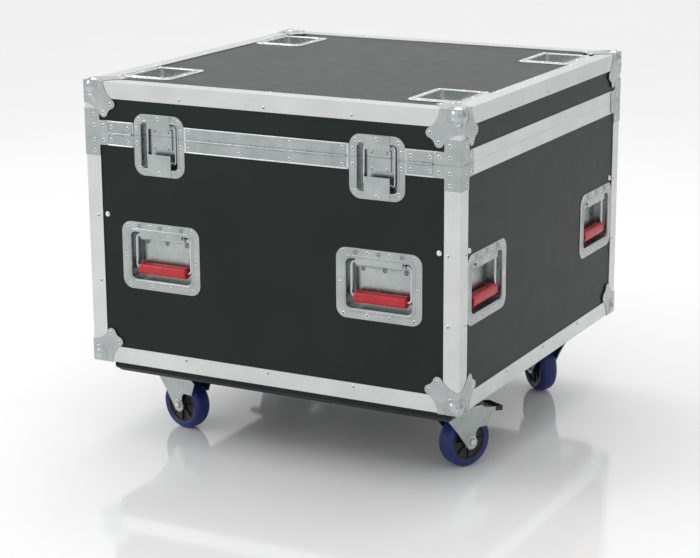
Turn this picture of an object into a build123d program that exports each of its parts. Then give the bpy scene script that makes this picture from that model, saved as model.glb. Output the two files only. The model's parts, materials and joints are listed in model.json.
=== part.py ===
from build123d import *
import os
from math import cos, radians, sin

# Truck-pack equipment case on casters: an open-topped base and a hinged lid of laminated plywood
# held in aluminium edge extrusions, with recessed handles, latches, lid stays and stacking cups.
# The origin is on the floor under the middle of the case. +Z is up, and the lid hinges along -Y.

os.makedirs("parts", exist_ok=True)

# ---------------------------------------------------------------- driving dimensions (mm)
CASE = 762.0  # outside width and depth over the aluminium edges (30 in)
CASTER_H = 127.0  # floor to the caster board
BOARD_T = 28.0
BODY_H = 535.0  # base and lid together
LID_H = 95.0
PANEL_T = 9.5
SKIN = 2.0  # wall of the edge extrusions
ANGLE_W = 31.0  # visible leg of the edge extrusions
BAND_W = 23.0  # visible height of each rail beside the split
SLOT_IN = 13.0  # how far in from an outer edge a panel starts
LIP_W = 24.0  # reach of the extrusions' inner lips
SHEET = 1.2  # pressed steel sheet
GAP = 0.3  # clearance between faces of the base and of the lid

HALF = CASE / 2
FACE = HALF - SKIN  # outer face of the side panels
BASE_Z = CASTER_H + BOARD_T
TOP_Z = BASE_Z + BODY_H
SPLIT_Z = TOP_Z - LID_H
LIP_Q = SKIN + PANEL_T  # depth of a panel's inner face below the outer face

# Tongue-and-groove rails that meet at the split.
RAIL_BLOCK = 6.0
GROOVE_BLOCK = 8.0
TONGUE_Q = (7.0, 10.0)
TONGUE_H = 5.0
TONGUE_TAPER = (1.0, 2.4)  # lets the groove swing off the tongue beside the hinge
GROOVE_SPARE = 0.5

# Handles: a pressed dish, a wire bail that turns in the dish's curled tab, and a moulded grip.
HANDLE_W = 168.0
HANDLE_H = 128.0
HANDLE_OPEN_W = 130.0
HANDLE_OPEN_H = 90.0
HANDLE_DEPTH = 23.0
HANDLE_Z = BASE_Z + 214.0
HANDLE_X = 225.0  # on the hinge and latch sides
HANDLE_Y = 266.0  # on the left and right sides
BAIL_R = 3.5
BAIL_W = 118.0
BAIL_DROP = 63.5
BAIL_V = 38.0  # bail pivot above the dish's middle
BAIL_DEPTH = 10.0
TAB_W = 92.0
CURL_R = 5.0
GRIP_LEN = 102.0
GRIP_R = 11.8
RUNNING = 0.05  # radial clearance of a running fit

# Lid stays and latches share one dish outline, cut through at the split.
DISH_W = 108.0
DISH_H = 114.0
DISH_X = 222.0
DISH_Z = SPLIT_Z - 16.0
DISH_OPEN_W = 77.0
DISH_OPEN_LOW = -43.0
DISH_OPEN_HIGH = 41.5
STAY_DEPTH = 12.0
LATCH_DEPTH = 15.0
STRAP_W = 50.0
STRAP_T = 1.4
STRAP_UPPER_V = 31.0
STRAP_LOWER_V = -16.5
LOOP_R = 2.5
LOOP_W = 60.0
LOOP_LEN = 71.0
LOOP_V = 38.0
LOOP_DEPTH = 8.0
WING_V = -14.0
WING_R = 26.0
SPINDLE_R = 5.0
HOOK_W = 24.0
HOOK_TRAVEL = 8.0

# Piano hinge on the hinge side.
PIN_R = 1.2
BARREL_R = 2.2
PIN_OUT = BARREL_R + 0.35  # pin axis outside the case's face
LEAF_T = 1.0
KNUCKLE = 25.0
HINGE_STRIPS = ((-163.0, 163.0), (-329.0, -279.0), (279.0, 329.0))

# Casters with 100 mm wheels.
CASTER_X = 295.0
CASTER_Y = 245.0
CASTER_TRAIL = 40.0
WHEEL_R = 50.0
WHEEL_W = 36.0
RIM_R = 36.0
PLATE_L = 105.0
PLATE_W = 85.0
PLATE_T = 3.0
KINGPIN_R = 8.0
AXLE_R = 5.0
FORK_T = 2.5
FORK_GAP = 42.0
FORK_TOP = 117.0
PEDAL_PIN = (64.0, 107.0)
PEDAL_TIP_X = 113.0
PEDAL_PIN_R = 3.0
# Each caster: place of its swivel axis, and the direction in which its wheel trails (degrees).
CASTERS = (
    (CASTER_X, -CASTER_Y, 62.6),
    (-CASTER_X, -CASTER_Y, -14.9),
    (CASTER_X, CASTER_Y, 137.1),
    (-CASTER_X, CASTER_Y, 250.0),
)
BRAKED = (0, 3)

# Stacking cups in the lid's top take the casters of a second case.
CUP_X = 108.0
CUP_Y = 134.0
CUP_RIM = 14.0
CUP_DEPTH = 20.0

# Fasteners.
RIVET_R = 3.7
RIVET_H = 1.3
BOLT_R = 5.5
BOLT_H = 2.8

SIDES = {
    "hinge": (Vector(1, 0, 0), Vector(0, -1, 0)),
    "right": (Vector(0, 1, 0), Vector(1, 0, 0)),
    "latch": (Vector(-1, 0, 0), Vector(0, 1, 0)),
    "left": (Vector(0, -1, 0), Vector(-1, 0, 0)),
}


def wall_plane(side, along, height, out=0.0):
    """Plane on a side panel's outer face: local X runs right as seen from outside, local Y up."""
    along_dir, normal = SIDES[side]
    origin = normal * (FACE + out) + along_dir * along + Vector(0, 0, height)
    return Plane(origin=origin, x_dir=along_dir, z_dir=normal)


def top_plane(x, y, height=TOP_Z):
    return Plane(origin=(x, y, height), x_dir=(1, 0, 0), z_dir=(0, 0, 1))


def save(piece, name):
    piece.part.label = name
    export_step(piece.part, f"parts/{name}.step")


HANDLE_PLACES = []
for side_name, reach in (("hinge", HANDLE_X), ("right", HANDLE_Y), ("latch", HANDLE_X), ("left", HANDLE_Y)):
    for direction in (-1, 1):
        HANDLE_PLACES.append(wall_plane(side_name, direction * reach, HANDLE_Z))
STAY_PLACES = [wall_plane("hinge", direction * DISH_X, DISH_Z) for direction in (-1, 1)]
LATCH_PLACES = [wall_plane("latch", direction * DISH_X, DISH_Z) for direction in (-1, 1)]
DISH_PLACES = STAY_PLACES + LATCH_PLACES
CUP_PLACES = [top_plane(sx * CASTER_X, sy * CASTER_Y, TOP_Z - SKIN) for sx in (-1, 1) for sy in (-1, 1)]
SPLIT_V = SPLIT_Z - DISH_Z

# ---------------------------------------------------------------- plywood panels
WALL_LOW = BASE_Z + SLOT_IN
WALL_HIGH = SPLIT_Z - RAIL_BLOCK
WALL_MID = (WALL_LOW + WALL_HIGH) / 2
WALL_LEN = CASE - 2 * SLOT_IN
FIT = 0.3

with BuildPart() as base_wall_panels:
    for side_name in SIDES:
        with BuildSketch(wall_plane(side_name, 0, WALL_MID)):
            Rectangle(WALL_LEN, WALL_HIGH - WALL_LOW)
        extrude(amount=-PANEL_T)
    for place in HANDLE_PLACES:
        with BuildSketch(place):
            Rectangle(HANDLE_OPEN_W + 2 * (SHEET + FIT), HANDLE_OPEN_H + 2 * (SHEET + FIT))
        extrude(amount=-PANEL_T, mode=Mode.SUBTRACT)
    for place in DISH_PLACES:
        notch_low = DISH_OPEN_LOW - SHEET - FIT
        with BuildSketch(place):
            with Locations((0, (notch_low + SPLIT_V) / 2)):
                Rectangle(DISH_OPEN_W + 2 * (SHEET + FIT), SPLIT_V - notch_low)
        extrude(amount=-PANEL_T, mode=Mode.SUBTRACT)
save(base_wall_panels, "base_wall_panels")

with BuildPart() as base_floor_panel:
    with BuildSketch(Plane.XY.offset(BASE_Z + SKIN)):
        Rectangle(WALL_LEN, WALL_LEN)
    extrude(amount=PANEL_T)
save(base_floor_panel, "base_floor_panel")

BOARD_INSET = 27.0
BOARD_BEVEL = 9.0
with BuildPart() as caster_board:
    with BuildSketch(Plane.XY.offset(CASTER_H)):
        Rectangle(CASE - 2 * BOARD_INSET, CASE - 2 * BOARD_INSET)
    extrude(amount=BOARD_T)
    chamfer(caster_board.faces().sort_by(Axis.Z)[0].edges(), length=BOARD_BEVEL)
save(caster_board, "caster_board")

LID_WALL_LOW = SPLIT_Z + GROOVE_BLOCK
LID_WALL_HIGH = TOP_Z - SLOT_IN
LID_WALL_MID = (LID_WALL_LOW + LID_WALL_HIGH) / 2
with BuildPart() as lid_wall_panels:
    for side_name in SIDES:
        with BuildSketch(wall_plane(side_name, 0, LID_WALL_MID)):
            Rectangle(WALL_LEN, LID_WALL_HIGH - LID_WALL_LOW)
        extrude(amount=-PANEL_T)
    for place in DISH_PLACES:
        notch_high = DISH_OPEN_HIGH + SHEET + FIT
        with BuildSketch(place):
            with Locations((0, (notch_high + SPLIT_V) / 2)):
                Rectangle(DISH_OPEN_W + 2 * (SHEET + FIT), notch_high - SPLIT_V)
        extrude(amount=-PANEL_T, mode=Mode.SUBTRACT)
save(lid_wall_panels, "lid_wall_panels")

with BuildPart() as lid_top_panel:
    with BuildSketch(Plane.XY.offset(TOP_Z - SKIN)):
        Rectangle(WALL_LEN, WALL_LEN)
    extrude(amount=-PANEL_T)
    for place in CUP_PLACES:
        with BuildSketch(place):
            Rectangle(CUP_X - 2 * CUP_RIM + 2 * (SHEET + FIT), CUP_Y - 2 * CUP_RIM + 2 * (SHEET + FIT))
        extrude(amount=-PANEL_T, mode=Mode.SUBTRACT)
save(lid_top_panel, "lid_top_panel")

# ---------------------------------------------------------------- aluminium edge extrusions
# Section of the double angle, with p and q measured inwards from the outer corner. Panels slide
# into the two slots between its outer legs and its inner lips.
LIP_END = LIP_Q + 1.5
ANGLE_SECTION = [
    (0, 0),
    (ANGLE_W, 0),
    (ANGLE_W, SKIN),
    (SLOT_IN, SKIN),
    (SLOT_IN, LIP_Q),
    (LIP_W, LIP_Q),
    (LIP_W, LIP_END),
    (LIP_END, LIP_END),
    (LIP_END, LIP_W),
    (LIP_Q, LIP_W),
    (LIP_Q, SLOT_IN),
    (SKIN, SLOT_IN),
    (SKIN, ANGLE_W),
    (0, ANGLE_W),
]


with BuildSketch() as angle_profile:
    with BuildLine():
        Polyline(*ANGLE_SECTION, close=True)
    make_face()
    with Locations((SLOT_IN / 2, SLOT_IN / 2)):
        Rectangle(SLOT_IN - 5, SLOT_IN - 5, mode=Mode.SUBTRACT)


def post(height):
    """Vertical corner extrusion at the +X +Y corner."""
    with BuildPart() as piece:
        with BuildSketch(Plane(origin=(HALF, HALF, 0), x_dir=(-1, 0, 0), z_dir=(0, 0, 1))):
            add(angle_profile.sketch)
        extrude(amount=height)
    return piece.part


def edge_run(upward):
    """Horizontal edge extrusion along the +Y side, between two posts, with its corner at z = 0."""
    length = CASE - 2 * ANGLE_W - 2 * GAP
    with BuildPart() as piece:
        section_plane = Plane(origin=(-length / 2, HALF, 0), x_dir=(0, -1, 0), z_dir=(1, 0, 0))
        with BuildSketch(section_plane):
            add(angle_profile.sketch)
        extrude(amount=length)
    # The section's second axis runs down from the corner, as on the lid.
    return piece.part if not upward else piece.part.mirror(Plane.XY)


FOUR_TURNS = [Rotation(0, 0, quarter * 90) for quarter in range(4)]

base_post = post(SPLIT_Z - BASE_Z)
base_run = edge_run(upward=True)
with BuildPart() as base_edge_angles:
    with Locations(*[turn * Pos(0, 0, 0) for turn in FOUR_TURNS]):
        add(Pos(0, 0, BASE_Z) * base_post)
        add(Pos(0, 0, BASE_Z) * base_run)
save(base_edge_angles, "base_edge_angles")

lid_post = post(LID_H)
lid_run = edge_run(upward=False)
with BuildPart() as lid_edge_angles:
    with Locations(*[turn * Pos(0, 0, 0) for turn in FOUR_TURNS]):
        add(Pos(0, 0, SPLIT_Z) * lid_post)
        add(Pos(0, 0, TOP_Z) * lid_run)
save(lid_edge_angles, "lid_edge_angles")

# Rails beside the split: each holds a panel's edge, and the lid's groove drops over the tongue.
LIP_REACH = 14.0
RAIL_LEN = CASE - 2 * ANGLE_W
TONGUE_SECTION = [
    (0, -BAND_W),
    (SKIN, -BAND_W),
    (SKIN, -RAIL_BLOCK),
    (LIP_Q, -RAIL_BLOCK),
    (LIP_Q, -RAIL_BLOCK - LIP_REACH),
    (LIP_END, -RAIL_BLOCK - LIP_REACH),
    (LIP_END, 0),
    (TONGUE_Q[1], 0),
    (TONGUE_Q[1], TONGUE_H - TONGUE_TAPER[1]),
    (TONGUE_Q[1] - TONGUE_TAPER[0], TONGUE_H),
    (TONGUE_Q[0], TONGUE_H),
    (TONGUE_Q[0], 0),
    (0, 0),
]
GROOVE_TOP = TONGUE_H + GROOVE_SPARE
GROOVE_SECTION = [
    (0, 0),
    (TONGUE_Q[0] - GROOVE_SPARE, 0),
    (TONGUE_Q[0] - GROOVE_SPARE, GROOVE_TOP),
    (TONGUE_Q[1] + GROOVE_SPARE, GROOVE_TOP),
    (TONGUE_Q[1] + GROOVE_SPARE, 0),
    (LIP_END, 0),
    (LIP_END, GROOVE_BLOCK + LIP_REACH),
    (LIP_Q, GROOVE_BLOCK + LIP_REACH),
    (LIP_Q, GROOVE_BLOCK),
    (SKIN, GROOVE_BLOCK),
    (SKIN, BAND_W),
    (0, BAND_W),
]


def rails(section):
    """Four rails round the case. Those on the hinge and latch sides stop beside the dishes."""
    with BuildPart() as piece:
        for side_name in SIDES:
            along_dir, normal = SIDES[side_name]
            start = normal * HALF - along_dir * (RAIL_LEN / 2) + Vector(0, 0, SPLIT_Z)
            rail_plane = Plane(origin=start, x_dir=-normal, z_dir=along_dir)
            with BuildSketch(rail_plane):
                with BuildLine():
                    Polyline(*section, close=True)
                make_face()
            extrude(amount=RAIL_LEN)
        for place in DISH_PLACES:
            with BuildSketch(place.offset(SKIN)):
                Rectangle(DISH_W + 2 * FIT, DISH_H)
            extrude(amount=-LIP_END, mode=Mode.SUBTRACT)
    return piece


base_tongue_rails = rails(TONGUE_SECTION)
save(base_tongue_rails, "base_tongue_rails")
lid_groove_rails = rails(GROOVE_SECTION)
save(lid_groove_rails, "lid_groove_rails")

# ---------------------------------------------------------------- ball corners and corner braces
BALL_R = 16.0
BALL_IN = 11.0
EAR_RIVETS = ((57.0, 41.0), (41.0, 57.0))
EAR_R = 9.0
EAR_EDGE = 41.0


def around_ear(angle):
    """Point on the rim of the first ear."""
    x, y = EAR_RIVETS[0]
    return (x + EAR_R * cos(radians(angle)), y + EAR_R * sin(radians(angle)))


# One face of a ball corner: two round ears, hollowed beside the extrusions.
ear_start = around_ear(-56)
ear_side = around_ear(0)
ear_end = around_ear(75)
with BuildSketch() as ear_outline:
    with BuildLine():
        Line((-SHEET, -SHEET), (EAR_EDGE, -SHEET))
        Line((EAR_EDGE, -SHEET), (EAR_EDGE, 0))
        ThreePointArc((EAR_EDGE, 0), (47.5, 20), ear_start)
        ThreePointArc(ear_start, ear_side, ear_end)
        ThreePointArc(ear_end, (53.4, 53.4), ear_end[::-1])
        ThreePointArc(ear_end[::-1], ear_side[::-1], ear_start[::-1])
        ThreePointArc(ear_start[::-1], (20, 47.5), (0, EAR_EDGE))
        Line((0, EAR_EDGE), (-SHEET, EAR_EDGE))
        Line((-SHEET, EAR_EDGE), (-SHEET, -SHEET))
    make_face()


def ball_corner():
    """Ball corner at the +X +Y corner of the lid's top."""
    tip = Vector(HALF, HALF, TOP_Z)
    face_axes = (
        (Vector(-1, 0, 0), Vector(0, 0, 1)),
        (Vector(0, -1, 0), Vector(1, 0, 0)),
        (Vector(0, 0, -1), Vector(0, 1, 0)),
    )
    with BuildPart() as piece:
        with Locations(tip - Vector(BALL_IN, BALL_IN, BALL_IN)):
            Sphere(BALL_R, rotation=(0, 0, 45))
        with Locations(tip - Vector(HALF, HALF, HALF) / 2):
            Box(HALF, HALF, HALF, mode=Mode.SUBTRACT)
        for along_dir, normal in face_axes:
            with BuildSketch(Plane(origin=tip, x_dir=along_dir, z_dir=normal)):
                add(ear_outline.sketch)
            extrude(amount=SHEET)
    return piece.part


upper_ball = ball_corner()
lower_ball = Pos(0, 0, TOP_Z + BASE_Z) * upper_ball.mirror(Plane.XY)
with BuildPart() as lid_ball_corners:
    with Locations(*[turn * Pos(0, 0, 0) for turn in FOUR_TURNS]):
        add(upper_ball)
save(lid_ball_corners, "lid_ball_corners")

with BuildPart() as base_ball_corners:
    with Locations(*[turn * Pos(0, 0, 0) for turn in FOUR_TURNS]):
        add(lower_ball)
    # The caster board's corners stand inside the lowest ears.
    with BuildSketch(Plane.XY.offset(BASE_Z)):
        Rectangle(CASE - 2 * BOARD_INSET + 1, CASE - 2 * BOARD_INSET + 1)
    extrude(amount=-2 * SHEET, mode=Mode.SUBTRACT)
save(base_ball_corners, "base_ball_corners")

BRACE_H = 44.0
BRACE_ARM = 51.0
BRACE_RIVETS = ((20.0, 13.5), (20.0, 34.0), (40.0, 13.5))


def brace():
    """Folded corner brace at the +X +Y corner, below the split at z = 0."""
    with BuildPart() as piece:
        with BuildSketch(Plane(origin=(HALF, HALF, 0), x_dir=(0, -1, 0), z_dir=(1, 0, 0))) as outline:
            with BuildLine():
                Polyline(
                    (-SHEET, GAP / 2),
                    (BRACE_ARM, GAP / 2),
                    (BRACE_ARM, BAND_W),
                    (ANGLE_W, BAND_W),
                    (ANGLE_W, BRACE_H),
                    (-SHEET, BRACE_H),
                    close=True,
                )
            make_face()
            bend = outline.vertices().sort_by_distance((HALF, HALF - ANGLE_W, -BAND_W))
            fillet(bend[:1], radius=9)
        extrude(amount=SHEET)
        mirror(about=Plane(origin=(HALF, HALF, 0), z_dir=(1, -1, 0)))
    return piece.part


lower_brace = brace()
upper_brace = lower_brace.mirror(Plane.XY)
with BuildPart() as base_corner_braces:
    with Locations(*[turn * Pos(0, 0, SPLIT_Z) for turn in FOUR_TURNS]):
        add(lower_brace)
save(base_corner_braces, "base_corner_braces")
with BuildPart() as lid_corner_braces:
    with Locations(*[turn * Pos(0, 0, SPLIT_Z) for turn in FOUR_TURNS]):
        add(upper_brace)
    # The ears of the ball corners lie over the braces' upper ends.
    add(lid_ball_corners.part, mode=Mode.SUBTRACT)
save(lid_corner_braces, "lid_corner_braces")

# ---------------------------------------------------------------- handles
with BuildPart() as handle_dish:
    with BuildSketch(Plane.XY):
        RectangleRounded(HANDLE_W, HANDLE_H, 20)
    extrude(amount=SHEET)
    with BuildSketch(Plane.XY.offset(SHEET)):
        RectangleRounded(HANDLE_OPEN_W + 2 * SHEET, HANDLE_OPEN_H + 2 * SHEET, 11)
    extrude(amount=-HANDLE_DEPTH - 2 * SHEET)
    with BuildSketch(Plane.XY.offset(SHEET)):
        RectangleRounded(HANDLE_OPEN_W, HANDLE_OPEN_H, 10)
    extrude(amount=-HANDLE_DEPTH - SHEET, mode=Mode.SUBTRACT)
    # Tab of the flange over the bail's pivot, curled round the bail.
    tab_low = BAIL_V - 3
    tab_high = HANDLE_OPEN_H / 2 + 1
    with BuildSketch(Plane.XY):
        with Locations((0, (tab_low + tab_high) / 2)):
            Rectangle(TAB_W, tab_high - tab_low)
    extrude(amount=SHEET)
    with BuildSketch(Plane.YZ.offset(-TAB_W / 2)):
        with Locations((BAIL_V, -BAIL_DEPTH)):
            Circle(CURL_R)
        with Locations((BAIL_V + 3, -BAIL_DEPTH / 2)):
            Rectangle(2, BAIL_DEPTH)
        with Locations((BAIL_V, -BAIL_DEPTH)):
            Circle(BAIL_R + RUNNING, mode=Mode.SUBTRACT)
    extrude(amount=TAB_W)

with BuildPart() as handle_dishes:
    with Locations(*[place.location for place in HANDLE_PLACES]):
        add(handle_dish.part)
save(handle_dishes, "handle_dishes")

with BuildSketch(Plane.XY.offset(-BAIL_DEPTH)) as bail_outline:
    with Locations((0, BAIL_V - BAIL_DROP / 2)):
        RectangleRounded(BAIL_W, BAIL_DROP, 8)
bail_path = bail_outline.sketch.faces()[0].outer_wire()
with BuildPart() as handle_bail:
    with BuildSketch(Plane(origin=bail_path @ 0, z_dir=bail_path % 0)):
        Circle(BAIL_R)
    sweep(path=bail_path)

with BuildPart() as handle_grip:
    with BuildSketch(Plane.YZ.offset(-GRIP_LEN / 2)):
        with Locations((BAIL_V - BAIL_DROP, -BAIL_DEPTH)):
            RegularPolygon(GRIP_R, 8, rotation=22.5)
            Circle(BAIL_R, mode=Mode.SUBTRACT)
    extrude(amount=GRIP_LEN)
    grip_ends = handle_grip.faces().filter_by(Axis.X)
    chamfer(grip_ends.edges().filter_by(GeomType.LINE), length=2)

for number, place in enumerate(HANDLE_PLACES, start=1):
    with BuildPart() as bail:
        add(place.location * handle_bail.part)
    save(bail, f"handle_bail_{number}")
    with BuildPart() as grip:
        add(place.location * handle_grip.part)
    save(grip, f"handle_grip_{number}")

# ---------------------------------------------------------------- dishes of stays and latches
OPEN_MID = (DISH_OPEN_LOW + DISH_OPEN_HIGH) / 2
OPEN_H = DISH_OPEN_HIGH - DISH_OPEN_LOW


def split_dish(depth):
    """Dish with a flange, made whole; the split's saw cut comes later."""
    with BuildPart() as piece:
        with BuildSketch(Plane.XY):
            RectangleRounded(DISH_W, DISH_H, 22)
        extrude(amount=SHEET)
        with BuildSketch(Plane.XY.offset(SHEET)):
            with Locations((0, OPEN_MID)):
                RectangleRounded(DISH_OPEN_W + 2 * SHEET, OPEN_H + 2 * SHEET, 9)
        extrude(amount=-depth - 2 * SHEET)
        with BuildSketch(Plane.XY.offset(SHEET)):
            with Locations((0, OPEN_MID)):
                RectangleRounded(DISH_OPEN_W, OPEN_H, 8)
        extrude(amount=-depth - SHEET, mode=Mode.SUBTRACT)
    return piece.part


def plate(width, low, high, bottom, thickness):
    """Flat plate in a dish, from low to high along the wall."""
    with BuildPart() as piece:
        with BuildSketch(Plane.XY.offset(bottom)):
            with Locations((0, (low + high) / 2)):
                Rectangle(width, high - low)
        extrude(amount=thickness)
    return piece.part


def half_of(dish, upper):
    """The part of a dish above or below the saw cut at the split."""
    with BuildPart() as piece:
        add(dish)
        cut = Plane(origin=(0, SPLIT_V, 0), z_dir=(0, 1, 0))
        if upper:
            split(bisect_by=cut.offset(GAP / 2), keep=Keep.TOP)
        else:
            split(bisect_by=cut.offset(-GAP / 2), keep=Keep.BOTTOM)
    return piece.part


stay_dish = split_dish(STAY_DEPTH)
latch_dish = split_dish(LATCH_DEPTH)
PAD_W = 43.0
PAD_T = 3.0
pad_bottom = -STAY_DEPTH
stay_lower = [
    half_of(stay_dish, upper=False),
    plate(STRAP_W, -DISH_H / 2 + 1, STRAP_LOWER_V, SHEET, STRAP_T),
    plate(PAD_W, -9, SPLIT_V - GAP / 2, pad_bottom, PAD_T),
]
stay_upper = [
    half_of(stay_dish, upper=True),
    plate(STRAP_W, STRAP_UPPER_V, DISH_H / 2 - 1, SHEET, STRAP_T),
    plate(PAD_W, SPLIT_V + GAP / 2, 29, pad_bottom, PAD_T),
]

with BuildPart() as spindle_boss:
    with BuildSketch(Plane.XY.offset(-LATCH_DEPTH)):
        with Locations((0, WING_V)):
            Circle(SPINDLE_R)
    extrude(amount=7)

# The keeper stands on the floor of the latch's upper dish, behind the hook.
KEEPER_W = 40.0
HOOK_BACK = -11.0
HOOK_T = 2.0
keeper = plate(KEEPER_W, SPLIT_V + 3, DISH_OPEN_HIGH - 6, -LATCH_DEPTH, 3)

with BuildPart() as base_recess_dishes:
    with Locations(*[place.location for place in STAY_PLACES]):
        add(stay_lower)
    with Locations(*[place.location for place in LATCH_PLACES]):
        add([half_of(latch_dish, upper=False), spindle_boss.part])
save(base_recess_dishes, "base_recess_dishes")

with BuildPart() as lid_recess_dishes:
    with Locations(*[place.location for place in STAY_PLACES]):
        add(stay_upper)
    with Locations(*[place.location for place in LATCH_PLACES]):
        add([half_of(latch_dish, upper=True), keeper])
save(lid_recess_dishes, "lid_recess_dishes")

with BuildSketch(Plane.XY.offset(-LOOP_DEPTH)) as loop_outline:
    with Locations((0, LOOP_V - LOOP_LEN / 2)):
        RectangleRounded(LOOP_W, LOOP_LEN, 6)
loop_path = loop_outline.sketch.faces()[0].outer_wire()
with BuildPart() as stay_loop:
    with BuildSketch(Plane(origin=loop_path @ 0, z_dir=loop_path % 0)):
        Circle(LOOP_R)
    sweep(path=loop_path)

for number, place in enumerate(STAY_PLACES, start=1):
    with BuildPart() as loop:
        add(place.location * stay_loop.part)
    save(loop, f"stay_loop_{number}")

# Latch wing: a butterfly key that turns on the spindle. Its hook slides up as it turns.
WING_BACK = -8.0 + GAP
with BuildPart() as latch_wing:
    with BuildSketch(Plane.XY.offset(WING_BACK)):
        with Locations((0, WING_V)):
            Circle(9)
            SlotOverall(2 * WING_R, 17)
    extrude(amount=3)
    with BuildSketch(Plane.XY.offset(WING_BACK + 3)):
        with Locations((0, WING_V)):
            Rectangle(2 * WING_R - 16, 3)
    extrude(amount=3)

with BuildPart() as latch_hook:
    hook_low = WING_V - SPINDLE_R - HOOK_TRAVEL - 7
    hook_high = SPLIT_V + 12
    with BuildSketch(Plane.XY.offset(HOOK_BACK)):
        with Locations((0, (hook_low + hook_high) / 2)):
            Rectangle(HOOK_W, hook_high - hook_low)
        with Locations((0, WING_V - HOOK_TRAVEL / 2)):
            SlotOverall(2 * SPINDLE_R + HOOK_TRAVEL + 1, 2 * SPINDLE_R + 1, rotation=90, mode=Mode.SUBTRACT)
    extrude(amount=HOOK_T)

for number, place in enumerate(LATCH_PLACES, start=1):
    with BuildPart() as wing:
        add(place.location * latch_wing.part)
    save(wing, f"latch_wing_{number}")
    with BuildPart() as hook:
        add(place.location * latch_hook.part)
    save(hook, f"latch_hook_{number}")

# ---------------------------------------------------------------- stacking cups
with BuildPart() as cup:
    with BuildSketch(Plane.XY):
        RectangleRounded(CUP_X, CUP_Y, 16)
    extrude(amount=SHEET)
    with BuildSketch(Plane.XY.offset(SHEET)):
        RectangleRounded(CUP_X - 2 * CUP_RIM + 2 * SHEET, CUP_Y - 2 * CUP_RIM + 2 * SHEET, 9)
    extrude(amount=-CUP_DEPTH - 2 * SHEET)
    with BuildSketch(Plane.XY.offset(SHEET)):
        RectangleRounded(CUP_X - 2 * CUP_RIM, CUP_Y - 2 * CUP_RIM, 8)
    extrude(amount=-CUP_DEPTH - SHEET, mode=Mode.SUBTRACT)

with BuildPart() as stacking_cups:
    with Locations(*[place.location for place in CUP_PLACES]):
        add(cup.part)
save(stacking_cups, "stacking_cups")

# ---------------------------------------------------------------- piano hinge
PIN_Y = -(HALF + PIN_OUT)


def leaf(upper):
    """Leaves of the three hinge strips. Knuckles of the two leaves take turns along the pin."""
    sign = 1 if upper else -1
    with BuildPart() as piece:
        for start, end in HINGE_STRIPS:
            count = max(3, round((end - start) / KNUCKLE))
            pitch = (end - start) / count
            for index in range(count):
                mine = (index % 2 == 1) == upper
                left = start + index * pitch + GAP / 2
                width = pitch - GAP
                near = 0.8 if mine else 2.9
                with BuildSketch(Plane(origin=(left, 0, SPLIT_Z), x_dir=(0, 1, 0), z_dir=(1, 0, 0))):
                    with Locations((-HALF - LEAF_T / 2, sign * (near + BAND_W) / 2)):
                        Rectangle(LEAF_T, BAND_W - near)
                    if mine:
                        with Locations((PIN_Y, 0)):
                            Circle(BARREL_R)
                            Circle(PIN_R + RUNNING, mode=Mode.SUBTRACT)
                extrude(amount=width)
            # Unbroken strip of the leaf that ties its knuckles together.
            tie_low = 4.0
            with BuildSketch(Plane(origin=(start, 0, SPLIT_Z), x_dir=(0, 1, 0), z_dir=(1, 0, 0))):
                with Locations((-HALF - LEAF_T / 2, sign * (tie_low + BAND_W) / 2)):
                    Rectangle(LEAF_T, BAND_W - tie_low)
            extrude(amount=end - start)
    return piece


hinge_upper_leaf = leaf(upper=True)
save(hinge_upper_leaf, "hinge_upper_leaf")
hinge_lower_leaf = leaf(upper=False)
save(hinge_lower_leaf, "hinge_lower_leaf")

with BuildPart() as hinge_pins:
    for start, end in HINGE_STRIPS:
        with BuildSketch(Plane(origin=(start, PIN_Y, SPLIT_Z), z_dir=(1, 0, 0))):
            Circle(PIN_R)
        extrude(amount=end - start)
save(hinge_pins, "hinge_pins")

# ---------------------------------------------------------------- casters
RACE_R = 26.0
BOLT_SPACING = (80.0, 60.0)
with BuildPart() as top_plate:
    with BuildSketch(Plane.XY.offset(CASTER_H - PLATE_T)):
        RectangleRounded(PLATE_L, PLATE_W, 7)
        with GridLocations(BOLT_SPACING[0], BOLT_SPACING[1], 2, 2):
            Circle(4.5, mode=Mode.SUBTRACT)
    extrude(amount=PLATE_T)
    with BuildSketch(Plane.XY.offset(FORK_TOP + GAP)):
        Circle(RACE_R)
    extrude(until=Until.NEXT)
    with BuildSketch(Plane.XY.offset(FORK_TOP + GAP)):
        Circle(KINGPIN_R)
    extrude(amount=-FORK_T - 2 * GAP - 1)
    with BuildSketch(Plane.XY.offset(FORK_TOP - FORK_T - GAP)):
        Circle(KINGPIN_R + 4)
    extrude(amount=-5)

with BuildPart() as caster_top_plates:
    with Locations(*[(x, y, 0) for x, y, _ in CASTERS]):
        add(top_plate.part.rotate(Axis.Z, 90))
save(caster_top_plates, "caster_top_plates")

# The fork's two legs share one outline in the plane of the wheel: x along the trail, z up.
HUB_X = CASTER_TRAIL


with BuildSketch() as leg_outline:
    with BuildLine():
        Polyline((-32, FORK_TOP), (62, FORK_TOP), (86, 100), (77, 75), (56, 75))
        ThreePointArc((56, 75), (51.5, 70), (53, 50))
        ThreePointArc((53, 50), (HUB_X + 2, 35.5), (28, 43))
        ThreePointArc((28, 43), (-2, 84), (-32, FORK_TOP))
    make_face()


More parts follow.
